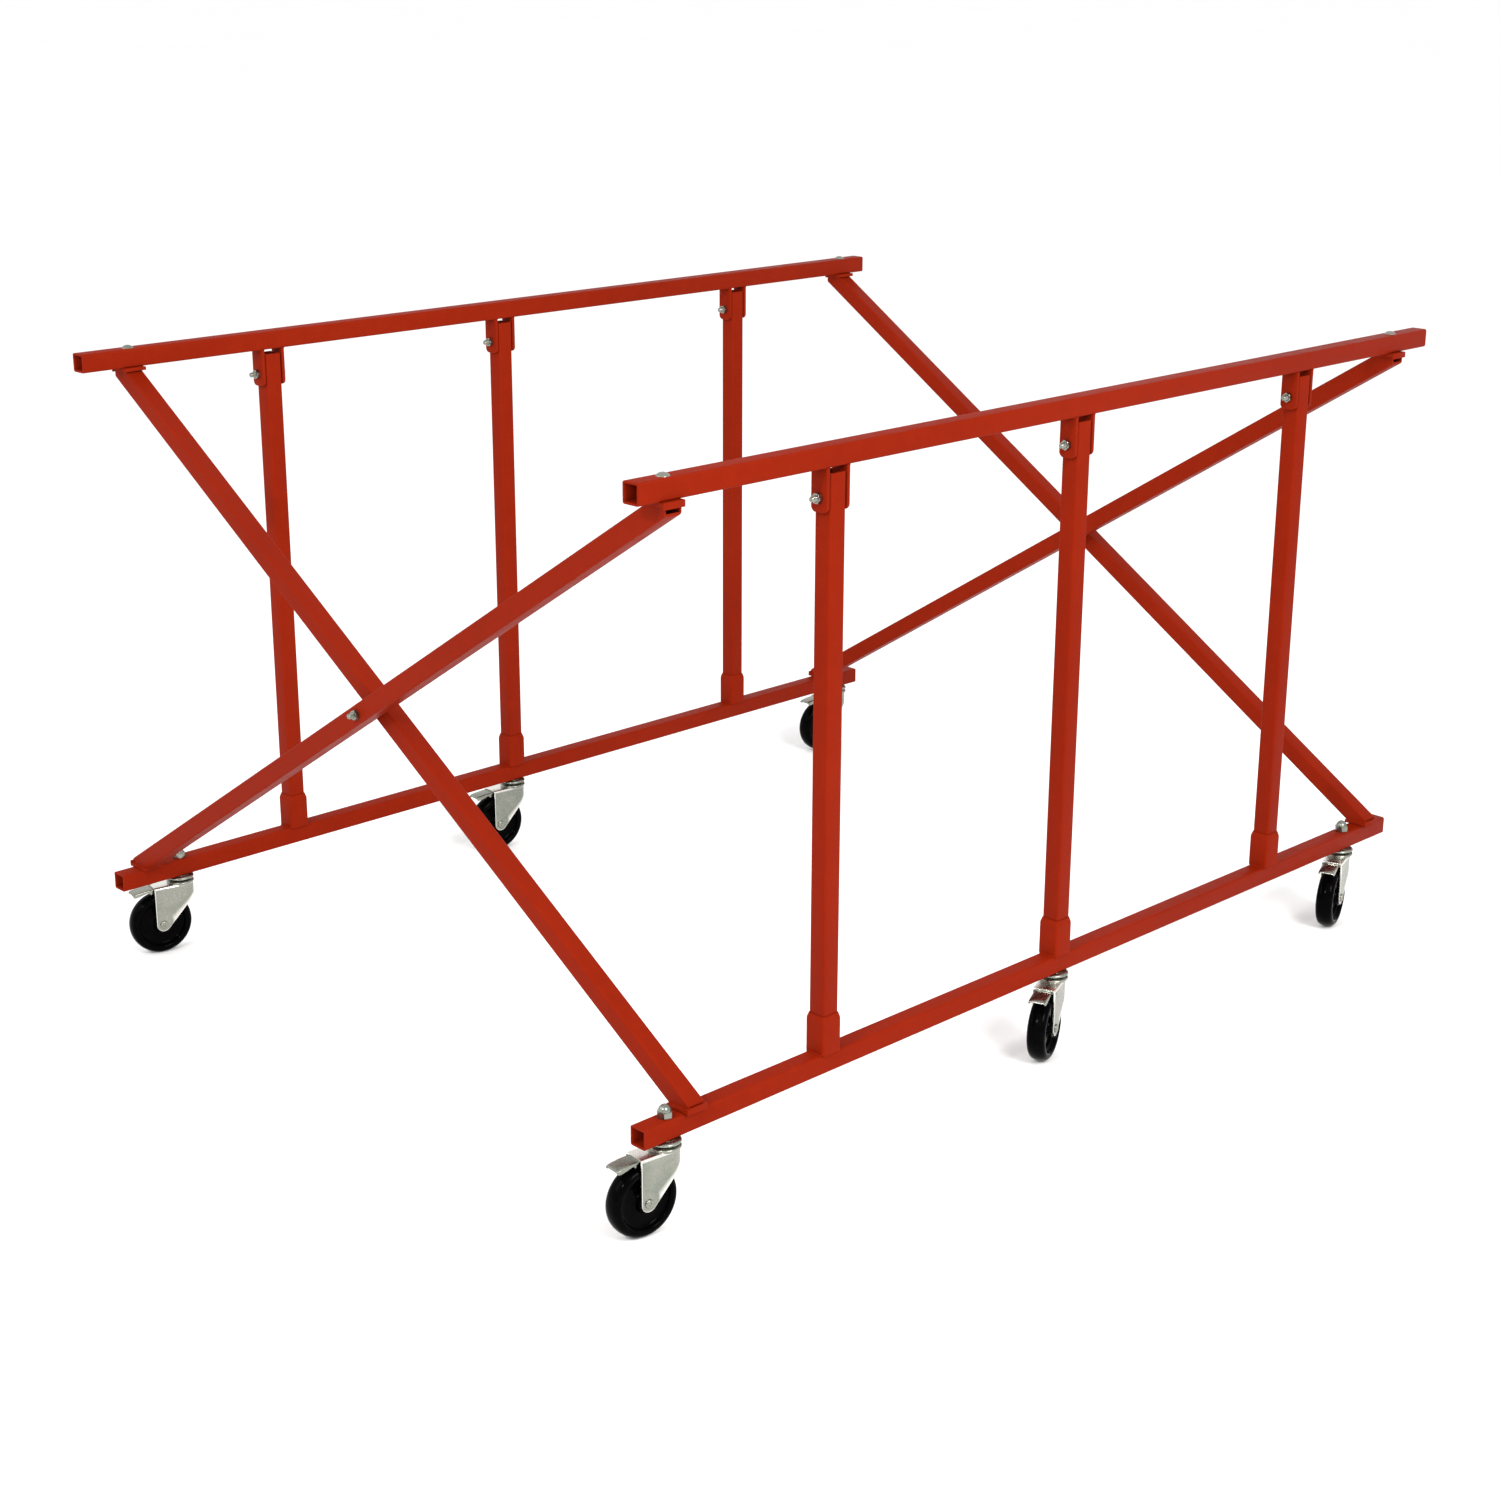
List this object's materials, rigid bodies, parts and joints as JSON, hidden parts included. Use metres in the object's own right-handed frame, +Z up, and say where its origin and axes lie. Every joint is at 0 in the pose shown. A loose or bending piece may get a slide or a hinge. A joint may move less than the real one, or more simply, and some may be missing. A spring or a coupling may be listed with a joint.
{
  "type": "rolling rail stand",
  "caption": "Knock-down rolling stand: square-tube side frames with sockets and posts, bolted X braces across both ends, braked swivel casters.",
  "frame": {"origin": "on the floor, below the middle of everything's outline", "axes": "+Y along the rails from the near end to the far end, +X from the left side frame to the right one, +Z up"},
  "size_m": [1.314, 1.7334, 0.9872],
  "materials": {
    "red_paint": "powder coat, semi-gloss",
    "zinc": "bright zinc plate",
    "black_wheel": "hard black tread, satin"
  },
  "bodies": {
    "frame": {"rail_top_left": "red_paint", "rail_top_right": "red_paint", "rail_bottom_left": "red_paint", "rail_bottom_right": "red_paint", "post_near_left": "red_paint", "post_mid_left": "red_paint", "post_far_left": "red_paint", "post_near_right": "red_paint", "post_mid_right": "red_paint", "post_far_right": "red_paint", "arm_near_inner": "red_paint", "arm_near_outer": "red_paint", "arm_far_inner": "red_paint", "arm_far_outer": "red_paint", "arm_plates_near": "red_paint", "arm_plates_far": "red_paint", "post_lugs_left": "red_paint", "post_lugs_right": "red_paint", "post_sockets_left": "red_paint", "post_sockets_right": "red_paint", "arm_bolts": "zinc", "arm_nuts": "zinc", "post_bolts": "zinc", "post_nuts": "zinc", "centre_bolts": "zinc", "centre_nuts": "zinc", "centre_spacers": "zinc", "stem_nuts": "zinc", "stem_nuts_mid": "zinc", "mount_nl": "zinc", "mount_nr": "zinc", "mount_ml": "zinc", "mount_mr": "zinc", "mount_fl": "zinc", "mount_fr": "zinc"},
    "caster_nl": {"fork_nl": "zinc", "axle_nl": "zinc"},
    "wheel_nl": {"wheel_nl": "black_wheel"},
    "brake_nl": {"brake_nl": "zinc"},
    "caster_nr": {"fork_nr": "zinc", "axle_nr": "zinc"},
    "wheel_nr": {"wheel_nr": "black_wheel"},
    "brake_nr": {"brake_nr": "zinc"},
    "caster_ml": {"fork_ml": "zinc", "axle_ml": "zinc"},
    "wheel_ml": {"wheel_ml": "black_wheel"},
    "brake_ml": {"brake_ml": "zinc"},
    "caster_mr": {"fork_mr": "zinc", "axle_mr": "zinc"},
    "wheel_mr": {"wheel_mr": "black_wheel"},
    "brake_mr": {"brake_mr": "zinc"},
    "caster_fl": {"fork_fl": "zinc", "axle_fl": "zinc"},
    "wheel_fl": {"wheel_fl": "black_wheel"},
    "brake_fl": {"brake_fl": "zinc"},
    "caster_fr": {"fork_fr": "zinc", "axle_fr": "zinc"},
    "wheel_fr": {"wheel_fr": "black_wheel"},
    "brake_fr": {"brake_fr": "zinc"}
  },
  "joints": [
    {"name": "swivel_nl", "type": "hinge", "parent": "frame", "child": "caster_nl", "pos_m": [-0.62544, -0.71327, 0.117], "axis": [0, 0, 1], "continuous": true},
    {"name": "roll_nl", "type": "hinge", "parent": "caster_nl", "child": "wheel_nl", "pos_m": [-0.63334, -0.75044, 0.0508], "axis": [0.9781, -0.2079, 0], "continuous": true},
    {"name": "pedal_nl", "type": "hinge", "parent": "caster_nl", "child": "brake_nl", "pos_m": [-0.63479, -0.75728, 0.1089], "axis": [0.9781, -0.2079, 0], "range_deg": [0, 14]},
    {"name": "swivel_nr", "type": "hinge", "parent": "frame", "child": "caster_nr", "pos_m": [0.61056, -0.77727, 0.117], "axis": [0, 0, 1], "continuous": true},
    {"name": "roll_nr", "type": "hinge", "parent": "caster_nr", "child": "wheel_nr", "pos_m": [0.60659, -0.81506, 0.0508], "axis": [0.9945, -0.1045, 0], "continuous": true},
    {"name": "pedal_nr", "type": "hinge", "parent": "caster_nr", "child": "brake_nr", "pos_m": [0.60586, -0.82202, 0.1089], "axis": [0.9945, -0.1045, 0], "range_deg": [0, 14]},
    {"name": "swivel_ml", "type": "hinge", "parent": "frame", "child": "caster_ml", "pos_m": [-0.62544, -0.01927, 0.117], "axis": [0, 0, 1], "continuous": true},
    {"name": "roll_ml", "type": "hinge", "parent": "caster_ml", "child": "wheel_ml", "pos_m": [-0.62941, -0.05706, 0.0508], "axis": [0.9945, -0.1045, 0], "continuous": true},
    {"name": "pedal_ml", "type": "hinge", "parent": "caster_ml", "child": "brake_ml", "pos_m": [-0.63014, -0.06402, 0.1089], "axis": [0.9945, -0.1045, 0], "range_deg": [0, 14]},
    {"name": "swivel_mr", "type": "hinge", "parent": "frame", "child": "caster_mr", "pos_m": [0.61056, 0.00173, 0.117], "axis": [0, 0, 1], "continuous": true},
    {"name": "roll_mr", "type": "hinge", "parent": "caster_mr", "child": "wheel_mr", "pos_m": [0.62541, -0.03325, 0.0508], "axis": [0.9205, 0.3907, 0], "continuous": true},
    {"name": "pedal_mr", "type": "hinge", "parent": "caster_mr", "child": "brake_mr", "pos_m": [0.62814, -0.03969, 0.1089], "axis": [0.9205, 0.3907, 0], "range_deg": [0, 14]},
    {"name": "swivel_fl", "type": "hinge", "parent": "frame", "child": "caster_fl", "pos_m": [-0.62544, 0.82073, 0.117], "axis": [0, 0, 1], "continuous": true},
    {"name": "roll_fl", "type": "hinge", "parent": "caster_fl", "child": "wheel_fl", "pos_m": [-0.62743, 0.78278, 0.0508], "axis": [0.9986, -0.0523, 0], "continuous": true},
    {"name": "pedal_fl", "type": "hinge", "parent": "caster_fl", "child": "brake_fl", "pos_m": [-0.62779, 0.77579, 0.1089], "axis": [0.9986, -0.0523, 0], "range_deg": [0, 14]},
    {"name": "swivel_fr", "type": "hinge", "parent": "frame", "child": "caster_fr", "pos_m": [0.61056, 0.75673, 0.117], "axis": [0, 0, 1], "continuous": true},
    {"name": "roll_fr", "type": "hinge", "parent": "caster_fr", "child": "wheel_fr", "pos_m": [0.62293, 0.7208, 0.0508], "axis": [0.9455, 0.3256, 0], "continuous": true},
    {"name": "pedal_fr", "type": "hinge", "parent": "caster_fr", "child": "brake_fr", "pos_m": [0.62521, 0.71418, 0.1089], "axis": [0.9455, 0.3256, 0], "range_deg": [0, 14]}
  ]
}
